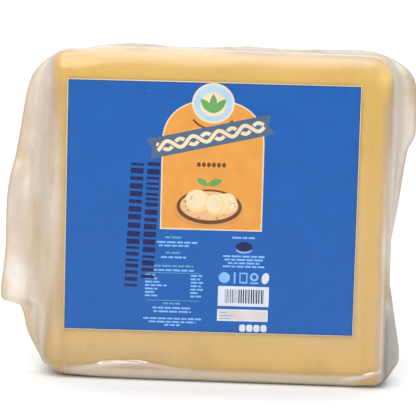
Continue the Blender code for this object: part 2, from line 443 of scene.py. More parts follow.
def film_line(row, reach, leave, front, thickness, count):
    """Rows of (outward, depth, up) along one film, from the rounded edge to the ear's cut edge."""
    _, height, out_x, out_z = row
    aside = abs(out_x)
    way = -1.0 if front else 1.0
    edge_up, edge_deep = edge_size(out_z)
    still_inside = 1.0 - math.sin(leave)
    edge_depth = DEPTH / 2 - edge_deep * (1.0 - math.cos(leave))
    seam = SEAM_DEPTH + way * thickness / 2
    tent = min(TENT_SHARE * reach, EAR_FRONT_TENT if front else EAR_BACK_TENT)
    start = np.array(
        (-aside * EDGE_RADIUS * still_inside, way * edge_depth, -out_z * edge_up * still_inside)
    )
    end = np.array((tent, seam, 0.0))
    direction = np.array(
        (aside * math.cos(leave), -way * math.sin(leave), out_z * math.cos(leave))
    )
    leaving = direction * abs(seam - start[1])
    arriving = np.array((tent - start[0], 0.0, 0.0))
    slope = between(start, end, leaving, arriving, np.linspace(0.0, 1.0, LINE_POINTS))
    flat = np.linspace(end, (reach, seam, 0.0), LINE_POINTS)[1:]
    line = np.vstack([slope, flat])
    bend = (
        EAR_CURL
        + EAR_WAVE * math.sin(2.0 * math.pi * height / EAR_WAVE_PITCH)
        + EAR_RIPPLE * math.sin(2.0 * math.pi * height / EAR_RIPPLE_PITCH + 1.0)
    )
    line[:, 1] += bend * (np.maximum(line[:, 0], 0.0) / FULL_REACH) ** CURL_POWER
    return spaced(line, count)


ear_row = (-WIDTH / 2, HEIGHT / 2, -1.0, 0.0)
ear_line = film_line(ear_row, FULL_REACH, math.pi / 4, front=True, thickness=0.0, count=8)
print(f"half way up, the ear's cut edge lies {ear_line[-1, 1] / MM:.1f} mm behind the middle")

# %% [markdown]
# A whole section joins the pieces: over the front edge, out along the front film, back along
# the back film and over the back edge. Beside an ear the film leaves the edge early, and the
# earlier the further the ear reaches. Each point also notes how far out it lies, because later
# steps treat the ears in their own way.

# %% Whole sections
EARLY_LEAVE = math.radians(38.0)
EARLY_LEAVE_REACH = 8.0 * MM


def section(row, ears, thickness, edge_steps, film_steps):
    """Rows of x, y, z, outward reach from the front face's rim to the back face's rim."""
    x, z, out_x, out_z = row
    edge, aside = (LEFT_EAR_EDGE, -1.0) if x < 0.0 else (RIGHT_EAR_EDGE, 1.0)
    reach = ears * eased(abs(out_x) / 0.5) * max(0.0, float(smooth_through(edge, z)) - abs(x))
    leave = 0.5 * math.pi - EARLY_LEAVE * float(eased(reach / EARLY_LEAVE_REACH))
    angles = leave * np.arange(edge_steps) / edge_steps
    edge_up, edge_deep = edge_size(out_z)
    still_inside = 1.0 - np.sin(angles)
    rim_x = x - out_x * EDGE_RADIUS * still_inside
    rim_z = z - out_z * edge_up * still_inside
    depth = DEPTH / 2 - edge_deep * (1.0 - np.cos(angles))
    depth = depth + face_relief(rim_x, rim_z) * np.cos(angles)
    halves = []
    for front in (True, False):
        over_edge = np.column_stack(
            [rim_x, -depth if front else depth, rim_z, np.zeros(edge_steps)]
        )
        outward, film_depth, up = film_line(row, reach, leave, front, thickness, film_steps).T
        along_film = np.column_stack(
            [x + aside * outward, film_depth, z + up, np.maximum(outward, 0.0)]
        )
        half = np.vstack([over_edge, along_film])
        halves.append(half if front else half[::-1])
    return np.vstack(halves)


coarse_sections = np.array([section(row, 1.0, 0.4 * MM, 6, 10) for row in coarse_rows])
print(f"the ears reach out by up to {coarse_sections[:, :, 3].max() / MM:.1f} mm")

# %% [markdown]
# Front and back are closed with rings of points that shrink towards the middle. Every ring has
# the same number of points, so the whole skin is a grid bent into a closed form, and a face is
# always two neighbours on one ring and the two beside them on the next. The rings can be made to
# crowd where the surface shows and to thin out where the label hides it.

# %% Closing the form
FACE_MIDDLE_X = -2.6 * MM


def closed_form(rows, sections, front_shares, back_shares):
    """Points, their outward reach, and faces of the closed skin through these sections."""
    count = len(rows)
    middle_z = HEIGHT / 2
    layers = []
    for way, shares, column in ((-1.0, front_shares, 0), (1.0, back_shares, -1)):
        rim = sections[:, column]
        rings = []
        for share in shares:
            x = FACE_MIDDLE_X + (rim[:, 0] - FACE_MIDDLE_X) * share
            z = middle_z + (rim[:, 2] - middle_z) * share
            y = way * (DEPTH / 2 + face_relief(x, z))
            rings.append(np.column_stack([x, y, z, np.zeros(count)]))
        if way < 0.0:
            layers += rings[::-1] + [sections[:, level] for level in range(sections.shape[1])]
        else:
            layers += rings
    ends = [(FACE_MIDDLE_X, way * (DEPTH / 2 + FACE_DOME), middle_z, 0.0) for way in (-1.0, 1.0)]
    points = np.vstack(layers + [ends])
    index = np.arange(count)
    beside = (index + 1) % count
    faces = []
    for level in range(len(layers) - 1):
        low, high = level * count, (level + 1) * count
        faces += list(zip(low + index, high + index, high + beside, low + beside))
    last, front_end = (len(layers) - 1) * count, len(layers) * count
    faces += list(zip(index, beside, np.full(count, front_end)))
    faces += list(zip(last + beside, last + index, np.full(count, front_end + 1)))
    return points[:, :3], points[:, 3], faces


def normals_of(piece):
    """The way out of the surface at each point of the mesh."""
    values = np.empty(len(piece.data.vertices) * 3, np.float32)
    piece.data.vertex_normals.foreach_get("vector", values)
    return values.reshape(-1, 3).astype(float)


def move_points(piece, points):
    """Puts the points of the mesh at these places."""
    piece.data.vertices.foreach_set("co", np.asarray(points, np.float32).ravel())
    piece.data.update()


_, _, coarse_faces = closed_form(coarse_rows, coarse_sections, (0.8, 0.4), (0.8, 0.4))
print(f"a coarse pack would have {len(coarse_faces)} faces")

# %% [markdown]
# ## Uneven surfaces
#
# Neither cheese nor film is ever quite smooth. Blender's Displace modifier could push the points
# with a noise texture, but the film needs creases that run one way here and another way there.
# So one plain noise is written out: random heights on a grid, eased between. Stretching its two
# directions differently gives long folds, and taking how close it is to zero gives thin creases.

# %% Noise and creases
NOISE_GRID = 128


def soft_noise(u, v, seed):
    """Smooth random heights from -1 to 1 over a plane."""
    heights = np.random.default_rng(seed).uniform(-1.0, 1.0, (NOISE_GRID, NOISE_GRID))
    column, row = np.floor(u).astype(int), np.floor(v).astype(int)
    share_u, share_v = eased(u - column), eased(v - row)
    column, row = column % NOISE_GRID, row % NOISE_GRID
    next_column, next_row = (column + 1) % NOISE_GRID, (row + 1) % NOISE_GRID
    near = heights[column, row], heights[next_column, row]
    far = heights[column, next_row], heights[next_column, next_row]
    low = near[0] + (near[1] - near[0]) * share_u
    high = far[0] + (far[1] - far[0]) * share_u
    return low + (high - low) * share_v


def crease_noise(u, v, seed, sharpness=5.0):
    """Thin raised lines, 1 on a crease and near 0 between them."""
    return (1.0 - np.abs(soft_noise(u, v, seed))) ** sharpness


sample = soft_noise(np.linspace(0.0, 50.0, 500), np.zeros(500), 1)
print(f"noise runs from {sample.min():.2f} to {sample.max():.2f}")

# %% [markdown]
# ## The cheese
#
# Under the film is a pressed block of mozzarella: even, pale yellow, a little see-through, with
# rounded edges and the faint dents of its mould. It could be a cube with a bevel, but then its
# edges would not follow the bag's. So it is the same form without ears, drawn in by the film's
# slack, and then pushed in by fractions of a millimetre where there is a dent.

# %% Cheese block
CHEESE_INSET = 0.45 * MM
CHEESE_DENT = 0.22 * MM
# (size across, up and through in mm, strength, seed) of the broad dents and of the small ones
CHEESE_DENTS = ((9.0, 7.0, 8.0, 1.0, 11), (3.1, 2.7, 3.0, 0.4, 12))

cheese_rows = outline(base=110, side=100, top=110, corner=12, swell=0.0)
cheese_sections = np.array(
    [section(row, ears=0.0, thickness=0.4 * MM, edge_steps=10, film_steps=9) for row in cheese_rows]
)
even_shares = np.linspace(0.965, 0.035, 28)
cheese_points, _, cheese_faces = closed_form(
    cheese_rows, cheese_sections, even_shares, even_shares
)
cheese_block = mesh_piece("cheese_block", cheese_points, cheese_faces)
x, y, z = cheese_points.T
dents = sum(
    strength * soft_noise(x / (across * MM), z / (up * MM) + y / (through * MM), seed)
    for across, up, through, strength, seed in CHEESE_DENTS
)
push = -CHEESE_INSET + CHEESE_DENT * np.minimum(dents, 0.0)
move_points(cheese_block, cheese_points + normals_of(cheese_block) * push[:, None])
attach(cheese_block, "root")
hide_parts("film_bag")
print(f"cheese of {len(cheese_faces)} faces, pushed in by up to {-push.min() / MM:.2f} mm")

# %% [markdown]
# A finish in Blender is a small network of nodes. It could be wired up by hand in the editor, but
# all the finishes here come from the same few pieces: a noise, a colour ramp, a bump, a sum or
# product of two numbers, and a number that changes along a length. With a short helper for each,
# a finish reads as a list of what goes into it.

# %% Helpers for the finishes
def node(tree, kind, **settings):
    """A shader node of this kind with these settings."""
    made = tree.nodes.new(kind)
    for name, value in settings.items():
        setattr(made, name, value)
    return made


def noise_at(tree, scale, detail, stretch=(1.0, 1.0, 1.0)):
    """A noise texture in object space, in blobs of about 1 / scale metres."""
    place = node(tree, "ShaderNodeTexCoord")
    spread = node(tree, "ShaderNodeMapping")
    spread.inputs["Scale"].default_value = stretch
    noise = node(tree, "ShaderNodeTexNoise")
    noise.inputs["Scale"].default_value = scale
    noise.inputs["Detail"].default_value = detail
    tree.links.new(place.outputs["Object"], spread.inputs["Vector"])
    tree.links.new(spread.outputs["Vector"], noise.inputs["Vector"])
    return noise.outputs["Fac"]


def ramp(tree, source, *stops):
    """A colour that runs through stops of (position, colour) as source goes from 0 to 1."""
    made = node(tree, "ShaderNodeValToRGB")
    while len(made.color_ramp.elements) < len(stops):
        made.color_ramp.elements.new(0.5)
    for element, (position, colour) in zip(made.color_ramp.elements, stops):
        element.position = position
        element.color = colour
    tree.links.new(source, made.inputs["Fac"])
    return made.outputs["Color"]


def bump(tree, source, distance, strength):
    """A surface that seems raised by up to this distance where source is 1."""
    made = node(tree, "ShaderNodeBump")
    made.inputs["Strength"].default_value = strength
    made.inputs["Distance"].default_value = distance
    tree.links.new(source, made.inputs["Height"])
    return made.outputs["Normal"]


def calculate(tree, operation, first, second):
    """The result of a math node; each input is a socket or a number."""
    made = node(tree, "ShaderNodeMath", operation=operation)
    for slot_number, value in enumerate((first, second)):
        if isinstance(value, (int, float)):
            made.inputs[slot_number].default_value = value
        else:
            tree.links.new(value, made.inputs[slot_number])
    return made.outputs["Value"]


def changing(tree, length, low, high, at_low, at_high):
    """A number that goes from one value to the other as a length goes from low to high mm."""
    made = node(tree, "ShaderNodeMapRange")
    tree.links.new(length, made.inputs["Value"])
    ends = {"From Min": low * MM, "From Max": high * MM, "To Min": at_low, "To Max": at_high}
    for socket, end in ends.items():
        made.inputs[socket].default_value = end
    return made.outputs["Result"]


print("helpers ready: noise, ramp, bump, calculation, change along a length")

# %% [markdown]
# Light goes a few millimetres into cheese and comes out again warmer, which keeps its shaded
# edges from looking grey. The shader's subsurface setting does that. The colour is mottled as
# curd is. A painted picture would need seams, so a noise, read in object space to stay put on
# the block, goes through a ramp of four colours instead. Up the block the cheese is palest in a
# thin line at its foot, which is painted light from the floor, and deepest just above that,
# which is painted shade near the base. It is a touch deeper again near the top, and its top
# right corner is pale, a painted highlight. Those changes are added to the noise before the ramp.

# %% Cheese finish
# The first colour is painted shade above the foot, the last painted light and highlight.
CHEESE_PAINTED_SHADE = (0.59, 0.365, 0.055, 1.0)
CHEESE_DEEP = (0.705, 0.435, 0.067, 1.0)
CHEESE_PALE = (0.745, 0.480, 0.090, 1.0)
CHEESE_PAINTED_LIGHT = (0.95, 0.66, 0.17, 1.0)
CHEESE_ROUGHNESS = 0.42
CHEESE_SCATTER = (1.0, 0.62, 0.25)
CHEESE_SCATTER_SHARE = 0.35
CHEESE_SCATTER_DEPTH = 4.0 * MM
MOTTLE_SCALE = 55.0
CURD_SCALE = 420.0
CURD_RELIEF = 0.25 * MM
CURD_STRENGTH = 0.5
# The first change is painted light from the floor, the second painted shade above the foot.
# (from height, to height, change of paleness at the first, change at the second), heights in mm
PAINTED_LIGHT_SHADE_AND_TINT_BY_HEIGHT = ((1.0, 5.0, 0.9, 0.0), (5.0, 20.0, -0.45, 0.0), (92.0, 102.0, 0.0, -0.12))
# The top right corner is paler, a painted highlight.
# (from, to, at the first, at the second) in mm to the right, and then in mm up
PAINTED_HIGHLIGHT_TO_RIGHT = (46.0, 56.0, 0.0, 0.6)
PAINTED_HIGHLIGHT_NEAR_TOP = (101.0, 110.0, 0.0, 1.0)

cheese_material = plain_material("pressed mozzarella", CHEESE_PALE[:3], CHEESE_ROUGHNESS)
tree = cheese_material.node_tree
shader = tree.nodes["Principled BSDF"]
paleness = noise_at(tree, MOTTLE_SCALE, 5.0)
place = node(tree, "ShaderNodeTexCoord")
parts = node(tree, "ShaderNodeSeparateXYZ")
tree.links.new(place.outputs["Object"], parts.inputs["Vector"])
# Painted light at the foot and painted shade above it change the paleness by height.
for change in PAINTED_LIGHT_SHADE_AND_TINT_BY_HEIGHT:
    paleness = calculate(tree, "ADD", paleness, changing(tree, parts.outputs["Z"], *change))
# A painted highlight makes the top right corner paler.
highlight_to_right = changing(tree, parts.outputs["X"], *PAINTED_HIGHLIGHT_TO_RIGHT)
near_top = changing(tree, parts.outputs["Z"], *PAINTED_HIGHLIGHT_NEAR_TOP)
paleness = calculate(tree, "ADD", paleness, calculate(tree, "MULTIPLY", highlight_to_right, near_top))
cheese_colour = ramp(
    tree, paleness, (0.1, CHEESE_PAINTED_SHADE), (0.3, CHEESE_DEEP), (0.7, CHEESE_PALE), (1.0, CHEESE_PAINTED_LIGHT)
)
tree.links.new(cheese_colour, shader.inputs["Base Color"])
curd = bump(tree, noise_at(tree, CURD_SCALE, 4.0), CURD_RELIEF, CURD_STRENGTH)
tree.links.new(curd, shader.inputs["Normal"])
shader.inputs["Subsurface Weight"].default_value = CHEESE_SCATTER_SHARE
shader.inputs["Subsurface Radius"].default_value = CHEESE_SCATTER
shader.inputs["Subsurface Scale"].default_value = CHEESE_SCATTER_DEPTH
cheese_block.data.materials.append(cheese_material)
print("cheese colours", CHEESE_DEEP[:3], "to", CHEESE_PALE[:3])

# %% [markdown]
# ## The clear film
#
# The bag is one closed skin round the cheese. It could be a copy of the block pushed out by a
# modifier, but the film is what the eye reads: it tents off the block's sides, crumples in the
# ears and folds at the base. So it is built from the same sections with far more points, and
# its folds are then laid on it one kind at a time. On the front its rings crowd outside the
# label and thin out under it.

# %% Film skin
EAR_THICKNESS = 0.35 * MM
film_rows = outline(base=230, side=125, top=130, corner=16, swell=1.0)
film_sections = np.array(
    [section(row, ears=1.0, thickness=EAR_THICKNESS, edge_steps=20, film_steps=26) for row in film_rows]
)
crowded_shares = np.concatenate(
    [np.linspace(0.993, 0.93, 10), np.linspace(0.91, 0.76, 8), (0.6, 0.4, 0.2)]
)
film_points, outward, film_faces = closed_form(
    film_rows, film_sections, crowded_shares, np.linspace(0.965, 0.05, 20)
)
clear_film = mesh_piece("clear_film", film_points, film_faces)
print(f"film of {len(film_faces)} faces")

# %% [markdown]
# The ears crumple as sheets, so both films move together, forwards or back. Most of it is long
# folds that run up and down beside the block, with smaller ones between them and a few sharp
# creases. The left ear, which is wider and looser, crumples more.

# %% Crumpled ears
# (strength, width and length in mm, seed) of the long folds and of the smaller ones
EAR_FOLDS = ((1.2, 7.0, 30.0, 21), (0.5, 3.2, 12.0, 22))
EAR_CREASES = 0.55
RIGHT_EAR_SHARE = 0.6

x, y, z = film_points.T
sideways = np.abs(x)
is_left = x < 0.0
in_ear = growing(outward, 0.0, 5.0)
crumple = sum(
    strength * soft_noise(sideways / (width * MM), z / (length * MM), seed)
    for strength, width, length, seed in EAR_FOLDS
)
creases = crease_noise(sideways / (7 * MM) + z / (55 * MM), z / (30 * MM), 23)
crumple += EAR_CREASES * (creases - 0.4)
shift = MM * in_ear * crumple * np.where(is_left, 1.0, RIGHT_EAR_SHARE)
print(f"ears crumple by up to {np.abs(shift).max() / MM:.1f} mm")

# %% [markdown]
# The film over the block can't move in, as the cheese is there, so its folds only rise. Near the
# sides it is pleated up and down, all over it has shallow bumps, and the back has a few long
# folds. Along the top edge the film is stretched too tight for either.

# %% Folds over the block
PLEAT_RISE = 0.32 * MM
BUMP_RISE = 0.05 * MM
BACK_FOLD_RISE = 0.30 * MM

is_front = y < SEAM_DEPTH
near_side = growing(sideways, 50.0, 59.0)
pleats = crease_noise(sideways / (4.6 * MM) + z / (70 * MM), z / (34 * MM), 24, 3.0)
skin = PLEAT_RISE * near_side * pleats * (1.0 - 0.6 * in_ear)
bumps = soft_noise(x / (6 * MM), z / (5 * MM) + y / (5 * MM), 25)
skin += BUMP_RISE * np.maximum(bumps, 0.0)
skin *= 1.0 - 0.9 * growing(z, 104.0, 112.0) * (sideways < 58 * MM)
back_folds = crease_noise(x / (21 * MM) + z / (60 * MM), z / (34 * MM), 26, 9.0)
skin += np.where(is_front, 0.0, BACK_FOLD_RISE * back_folds * (sideways < WIDTH / 2))
print(f"folds over the block rise {skin.max() / MM:.2f} mm")

# %% [markdown]
# Three folds have a place of their own, so noise can't draw them: two bows low on the front,
# where the film was drawn under the block, and an upright crease below the label's left corner.
# Each is a ridge whose crest runs through a few listed points.

# %% Folds with a place of their own
LEFT_BOW = (
    (-49.0, 4.0, 0.0),
    (-44.0, 4.8, 0.4),
    (-40.0, 5.6, 0.65),
    (-34.0, 6.4, 0.8),
    (-27.0, 6.6, 0.7),
    (-21.0, 6.2, 0.35),
    (-13.0, 5.2, 0.2),
    (2.0, 3.4, 0.0),
)
RIGHT_BOW = (
    (44.0, 2.9, 0.0),
    (49.0, 3.8, 0.45),
    (54.0, 5.0, 0.65),
    (58.0, 6.3, 0.4),
    (60.5, 7.3, 0.0),
)
UPRIGHT_CREASE = ((0.5, -52.2, 0.0), (4.0, -52.2, 0.18), (14.0, -52.5, 0.16), (18.5, -52.6, 0.0))


def ridge(along, across, knots, width):
    """One fold whose crest and height run through knots of (along, across, height) in mm."""
    knots = np.array(knots) * MM
    crest = smooth_through(knots[:, :2], along)
    height = np.interp(along, knots[:, 0], knots[:, 2])
    return height * np.exp(-(((across - crest) / (width * MM)) ** 2))


on_front = np.where(is_front & (outward == 0.0), 1.0, 0.0)
bows = on_front * (ridge(x, z, LEFT_BOW, 0.95) + ridge(x, z, RIGHT_BOW, 0.7))
front_folds = bows + on_front * ridge(z, x, UPRIGHT_CREASE, 0.45)
skin += front_folds
print(f"folds on the front rise {front_folds.max() / MM:.2f} mm")

# %% [markdown]
# Now the points can be moved. At the ears' top corners the cut edge turns so fast that folds
# made on one section don't meet those of the next, and the film would show steps. Real film is
# loose there, so each point is drawn a few times towards its two neighbours round the outline.
# Nothing may reach below the surface that the pack stands on.

# %% Film in its place
CORNER_SMOOTHINGS = 24

wrinkled = film_points + normals_of(clear_film) * skin[:, None]
wrinkled[:, 1] += shift
per_ring = len(film_rows)
loose = (in_ear * growing(z, 100.0, 105.0))[:, None]
for _ in range(CORNER_SMOOTHINGS):
    rings = wrinkled[:-2].reshape(-1, per_ring, 3)
    beside = (np.roll(rings, 1, axis=1) + np.roll(rings, -1, axis=1)).reshape(-1, 3) / 2
    wrinkled[:-2] += 0.5 * loose[:-2] * (beside - wrinkled[:-2])
wrinkled[:, 2] = np.maximum(wrinkled[:, 2], 0.0)
move_points(clear_film, wrinkled)
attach(clear_film, "root")
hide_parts("film_bag")
print(f"film {np.ptp(wrinkled[:, 0]) / MM:.1f} mm wide over its ears")

# %% [markdown]
# ## Milky and clear places
#
# Clear film is milky wherever it is slack: in the ears, along folds and down the block's sides,
# where many small wrinkles scatter the light. It is nearly invisible where it clings. One even
# finish could not show that, and a painted picture would need the film unwrapped. So each
# point of the mesh carries four numbers that the finish reads: milk, tone, shine and satin.
# In a few places milk and tone also carry painted highlights, painted light and painted shade.
# The first thing to know is where the film is slack: down both sides, where its haze has an
# edge of its own, and low on the right ear, where the pack's shade is painted on as grey.

# %% Slack film at the sides
# (height above the base, distance from the block's middle) where the left haze is half as strong
LEFT_HAZE_EDGE = np.array(
    (
        (0.0, 62.0),
        (12.0, 60.0),
        (24.0, 57.0),
        (36.0, 55.4),
        (55.0, 55.0),
        (80.0, 55.6),
        (98.0, 57.2),
        (108.0, 58.8),
        (118.0, 61.5),
    )
) * MM

low_left = growing(z, 45.0, 25.0)
haze_width = (4.0 + 4.0 * low_left + 3.0 * growing(z, 85.0, 100.0)) * MM
left_edge = smooth_through(LEFT_HAZE_EDGE, z)
left_side = eased((sideways - left_edge) / haze_width + 0.5) * is_left
above_foot = growing(z, 35.0, 55.0)
right_start = (55.5 - 1.8 * above_foot + 3.0 * growing(z, 98.0, 108.0)) * MM
right_side = eased((x - right_start) / ((6.0 + 2.0 * above_foot) * MM))
past_side = x - WIDTH / 2 - RIGHT_SIDE_LEAN * (0.5 - z / HEIGHT)
# A thin white line low on the right front edge is a painted highlight.
painted_side_highlight = hill(past_side, -3.3 * MM, 1.0, 0.6 * MM) * is_front
painted_side_highlight *= growing(z, 64.0, 50.0) * growing(z, 5.0, 9.0)
# Low on the right ear the film is painted dark grey, a painted shade from the pack.
painted_shade_ear = growing(past_side, -2.9, -2.0) * growing(z, 44.0, 22.0)
print(f"{np.mean((left_side + right_side) > 0.5):.0%} of the film's points are slack at a side")

# %% [markdown]
# The film's top also differs from place to place. All along the edge it is a little milky and
# white, a painted highlight where the light from above catches it. Where it swells off the
# cheese it is greyer, a painted shade, in ragged patches that fade towards the back.
# The ears' cut edges, where the two films were welded, show as a thin darker line.

# %% Haze along the top and the cut edges
longest = np.tile(film_sections[:, :, 3].max(axis=1), len(x) // per_ring)
to_cut_edge = np.append(longest, (0.0, 0.0)) - outward
cut_edge = in_ear * (1.0 - growing(to_cut_edge, 0.0, 1.1))
# Along the top edge the film is made milky white, a painted highlight.
painted_top_highlight = growing(z - HEIGHT, -8.0, -1.0)
by_ear = growing(sideways, 53.0, 58.0)
soft_top = growing(z - HEIGHT, -14.0, -8.0) * (1.0 - 0.45 * by_ear)
swollen = sum(hill(x, *swelling) for swelling in TOP_SWELLINGS) / (1.4 * MM)
ragged = soft_noise(x / (5 * MM), y / (6 * MM), 34) * growing(y + DEPTH / 2, 0.0, 6.0)
stood_off = eased(1.4 * swollen - 0.33 + 0.3 * ragged)
stood_off *= growing(z - HEIGHT, -0.7, 0.5) * (0.8 - 0.2 * 2.0 * y / DEPTH)
print(f"{np.mean(stood_off > 0.3):.0%} of the film's points stand off the top")

# %% [markdown]
# Milk says how much of the film's own white hides what lies behind it, from 0 to 1. Each line
# below adds one kind of milk, times how milky it is at its strongest. Streaks and patches of
# noise break up the haze of the sides, and folds are milkier than the film between them. On the
# folds of the front and along the top edge the extra milk is a painted highlight, and along the
# front's rounded foot it is painted light from the floor. Just above the foot the film has less
# milk, so that the cheese shows deeper there, a painted shade.

# %% Milk of the film
streaks = soft_noise(sideways / (2.0 * MM), z / (26 * MM), 31)
patches = soft_noise(sideways / (6 * MM), z / (15 * MM), 32)
down_front = 1.0 - growing(z, 0.0, 110.0)
right_margin = growing(x, 46.0, 54.0) * (1.0 - painted_top_highlight)
# Along the front's rounded foot the film is milky white, painted light from the floor.
painted_floor_light = growing(z, 7.0, 3.5) * on_front * growing(sideways, 60.0, 48.0)
# Just above the foot the film is clearer, so the cheese shows deeper, a painted shade.
painted_shade_band = hill(z, 8.5 * MM, 1.0, 4 * MM) * on_front * growing(x, -20.0, 0.0)
milk = 0.03 + (0.11 * down_front + 0.05 * right_margin) * is_front
# The top edge's milk is a painted highlight.
milk += 0.76 * left_side + 0.62 * right_side + 0.30 * painted_top_highlight + 0.40 * stood_off
milk += 0.16 * in_ear
milk += (left_side + 0.5 * right_side) * (0.08 * streaks + 0.10 * patches)
# The extra milk on the folds of the front is a painted highlight.
milk += 0.15 * (skin - front_folds) / MM + 0.55 * front_folds / MM
# Milk on the thin line at the right edge is a painted highlight.
milk += 0.15 * painted_side_highlight
# Low on the right ear the film is made nearly opaque, so that its painted shade shows.
milk += (0.9 - milk) * painted_shade_ear
milk += (0.34 + 0.06 * growing(x, 30.0, -30.0)) * painted_floor_light - 0.09 * painted_shade_band
print(f"milk from {milk.min():.2f} to {milk.max():.2f} before the patches")

# %% [markdown]
# Tone says which colour that milk has. It runs from white over ivory and cream to tan, and on
# to a neutral and a dark grey. The left ear is cream with tan patches, as cheese shows through
# it. The right one is nearly white high up, and a thin white line low on the block's edge is a
# painted highlight. Its foot is grey, a painted shade where it hangs in the pack's shadow.

# %% Tone of the film
left_tone = 0.31 + 0.05 * streaks + 0.12 * patches + 0.12 * (1.0 - in_ear) * low_left
left_tone += 0.05 * soft_noise(sideways / (2.8 * MM), z / (6 * MM), 33)
white_start = (56.0 + 2.0 * growing(z, 74.0, 94.0)) * MM
outer_right = growing(x - white_start, 0.0, 3.5) * growing(z, 36.0, 52.0)
right_tone = 0.34 - 0.27 * outer_right + 0.04 * streaks - 0.12 * painted_side_highlight
# Low on the right ear the tone turns dark grey, a painted shade.
painted_shade_tone = 0.95 - 0.12 * growing(past_side, -1.0, 2.0)
right_tone += (painted_shade_tone - right_tone) * painted_shade_ear
tone = np.where(is_left, left_tone, right_tone)
print(f"tone from {tone.min():.2f} to {tone.max():.2f} before the patches")

# %% [markdown]
# What noise can't place is listed: the pale and dark patches that give the ears their own look.
# The pale ones are mostly painted highlights, and painted light on folds that turn away from
# the lamps. Each is a soft spot that adds a little milk and a little tone. After them come the
# places whose tone is fixed: the cut edges; the block's middle, which turns white along its
# rounded foot as painted light from the floor; the top edge and the folds on the front, which
# are white as painted highlights; and the film that stands off the top, greyer as painted shade.

# %% Patches in the ears
# Pale patches are mostly painted highlights and painted light on folds turned from the lamps.
# (x, height above the base, half-width, half-height, milk, tone) of each patch, sizes in mm
HAZE_AND_PAINTED_LIGHT_PATCHES = (
    (-67.3, 76.0, 1.5, 6.0, -0.03, 0.10),
    (-69.5, 70.0, 1.2, 9.0, 0.08, -0.16),
    (-72.5, 57.0, 2.5, 5.0, 0.00, 0.06),
    (-64.4, 43.0, 1.8, 13.0, -0.06, 0.11),
    (-73.5, 34.0, 5.0, 9.5, 0.10, -0.26),
    (-65.3, 22.5, 1.6, 3.5, 0.05, -0.20),
    (-58.5, 20.0, 2.2, 14.0, -0.22, 0.06),
    (-60.5, 17.0, 1.8, 10.0, 0.06, -0.14),
    (-56.0, 17.0, 4.0, 15.0, 0.18, -0.10),
    (-63.0, 24.0, 3.0, 14.0, 0.05, -0.09),
    (-70.5, 70.0, 3.5, 16.0, 0.00, 0.04),
    (-59.5, 90.0, 3.0, 12.0, -0.12, 0.06),
    (-63.0, 92.0, 3.0, 14.0, 0.00, -0.15),
    (-59.5, 108.0, 3.0, 5.0, -0.10, -0.05),
    (69.0, 108.0, 3.0, 8.0, 0.00, 0.45),
    (-60.0, 109.0, 5.0, 6.0, 0.05, -0.26),
    (58.0, 112.0, 3.5, 4.0, 0.04, -0.28),
)
CUT_EDGE_TONE = 0.70
CLINGING_TONE = 0.78
STOOD_OFF_PAINTED_SHADE = 0.84
LEAST_MILK = 0.03
MOST_MILK = 0.96

for patch_x, patch_z, half_wide, half_high, more_milk, more_tone in HAZE_AND_PAINTED_LIGHT_PATCHES:
    away = ((x / MM - patch_x) / half_wide) ** 2 + ((z / MM - patch_z) / half_high) ** 2
    milk += more_milk * np.exp(-away)
    tone += more_tone * np.exp(-away)
tone += (CUT_EDGE_TONE - tone) * 0.6 * cut_edge * (1.0 - painted_shade_ear)
middle = 1.0 - growing(sideways, 50.0, 56.0)
# Along the front's foot the middle's tone turns white, painted light from the floor.
tone += (CLINGING_TONE * (1.0 - painted_floor_light) - tone) * middle
# White tone on the top edge and on the folds of the front is a painted highlight.
tone *= 1.0 - np.maximum(painted_top_highlight * middle, growing(front_folds, 0.0, 0.3))
# Where the film stands off the top its tone turns greyer, a painted shade.
tone = np.clip(tone + (STOOD_OFF_PAINTED_SHADE - tone) * stood_off, 0.0, 1.0)
milk = np.clip(milk, LEAST_MILK, MOST_MILK)
print(f"{len(HAZE_AND_PAINTED_LIGHT_PATCHES)} patches; milk from {milk.min():.2f} to {milk.max():.2f}")

# %% [markdown]
# Shine says how strongly the film mirrors, and satin how soft its gloss is. The bows on the
# front catch the light, while the shaded foot of each ear hardly shines. The top edge and both
# ears are satin, because their fine wrinkles spread each highlight. The ears get half as much,
# because a picture cleaned of noise can show a line where a gloss turns rough.

# %% Shine, satin and the numbers carried
BOW_SHINE = 1.5
EAR_SATIN = 0.5


def carry(piece, name, values):
    """Stores one number for each point of the mesh under a name that a shader can read."""
    layer = piece.data.attributes.new(name, "FLOAT", "POINT")
    layer.data.foreach_set("value", np.asarray(values, np.float32))


shine = 1.0 - 0.7 * stood_off - 0.8 * painted_shade_ear - 0.6 * left_side * low_left
shine += BOW_SHINE * growing(bows, 0.0, 0.5)
satin = np.maximum(soft_top, EAR_SATIN * np.maximum(left_side, right_side))
for name, values in (("milk", milk), ("tone", tone), ("shine", shine), ("satin", satin)):
    carry(clear_film, name, values)
    print(f"{name} from {values.min():.2f} to {values.max():.2f}")

# %% [markdown]
# ## Finish of the film
#
# A clear sheet shows two things: what lies behind it, and the reflections on it. A glass shader
# would bend the light as a solid lump does, and be slow. Here three shaders are mixed: a clear
# one, a milky one and a gloss. First comes the milky one, whose colour is the ramp of tones.

# %% Milky shader
FILM_WHITE = (0.80, 0.74, 0.67, 1.0)
FILM_IVORY = (0.765, 0.66, 0.54, 1.0)
FILM_CREAM = (0.66, 0.54, 0.43, 1.0)
FILM_TAN = (0.58, 0.44, 0.28, 1.0)
FILM_DEEP_TAN = (0.52, 0.39, 0.235, 1.0)
FILM_NEUTRAL = (0.60, 0.55, 0.51, 1.0)
# The grey end of the ramp is painted shade, low on the right ear and in film off the top.
FILM_PAINTED_SHADE = (0.24, 0.215, 0.19, 1.0)
MILKY_ROUGHNESS = 0.5


def carried(tree, name):
    """A number that the mesh carries for each of its points."""
    made = node(tree, "ShaderNodeAttribute", attribute_name=name)
    return made.outputs["Fac"]


